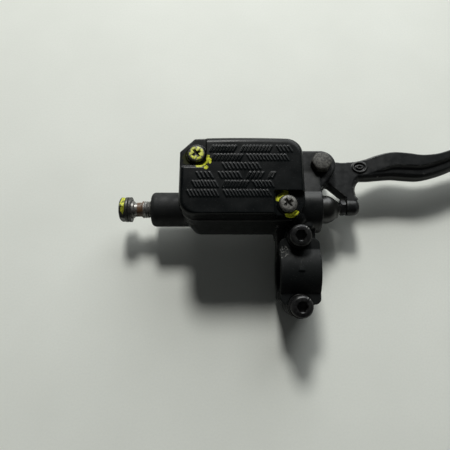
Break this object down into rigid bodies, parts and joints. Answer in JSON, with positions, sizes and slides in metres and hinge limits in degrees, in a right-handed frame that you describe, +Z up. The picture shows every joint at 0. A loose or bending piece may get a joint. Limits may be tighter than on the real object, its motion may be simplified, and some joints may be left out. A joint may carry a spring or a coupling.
{
  "type": "motorcycle front brake master cylinder",
  "caption": "Black handlebar-mounted brake master cylinder with rectangular reservoir, drafted screw-down cap, split bar clamp, hand lever and partly unscrewed banjo bolt.",
  "frame": {"origin": "centre of the handlebar clamp, on the handlebar's axis", "axes": "+X along the handlebar towards the lever's tip, +Y forward, away from the rider, +Z up through the reservoir's cap"},
  "size_m": [0.2738, 0.1037, 0.0439],
  "materials": {
    "black_casting": "satin black paint on cast aluminium",
    "black_plastic": "matte moulded",
    "black_lever": "semi-gloss black paint on cast aluminium",
    "black_steel": "black oxide",
    "worn_steel": "dull, weathered zinc",
    "rusty_steel": "weathered, rust at the waist",
    "spring_steel": "bright",
    "machined_aluminium": "turned",
    "bronze": "sintered bronze",
    "rubber": "matte",
    "boot_rubber": "matte olive grey",
    "white_plastic": "matte moulded"
  },
  "bodies": {
    "body": {"master_cylinder_body": "black_casting", "clamp_cover": "black_casting", "clamp_bolt_upper": "black_steel", "clamp_bolt_lower": "black_steel", "reservoir_cap": "black_plastic", "cap_screw_1": "worn_steel", "cap_screw_2": "worn_steel", "diaphragm": "rubber", "diaphragm_plate": "white_plastic", "splash_guard": "white_plastic", "banjo_bolt": "rusty_steel", "crush_washer_1": "worn_steel", "crush_washer_2": "worn_steel", "piston_spring": "spring_steel", "stop_washer": "spring_steel", "circlip": "spring_steel", "dust_boot": "boot_rubber", "pivot_bolt": "worn_steel", "pivot_nut": "worn_steel"},
    "lever": {"brake_lever": "black_lever", "adjuster_screw": "black_steel", "adjuster_lock_nut": "black_steel", "pivot_bush": "bronze"},
    "piston": {"piston": "machined_aluminium", "primary_cup": "rubber", "secondary_cup": "rubber"}
  },
  "joints": [
    {"name": "lever_pull", "type": "hinge", "parent": "body", "child": "lever", "pos_m": [0.015, 0.0585, 0], "axis": [0, 0, -1], "range_deg": [0, 18]},
    {"name": "piston_slide", "type": "slide", "parent": "body", "child": "piston", "axis": [-1, 0, 0], "range_m": [0, 0.0078], "stiffness_N_per_m": 500, "springref_m": -0.008, "deforming": ["piston_spring", "dust_boot"]}
  ],
  "couplings": [
    {"joint": "piston_slide", "follows": "lever_pull", "m_per_rad": 0.0232}
  ]
}
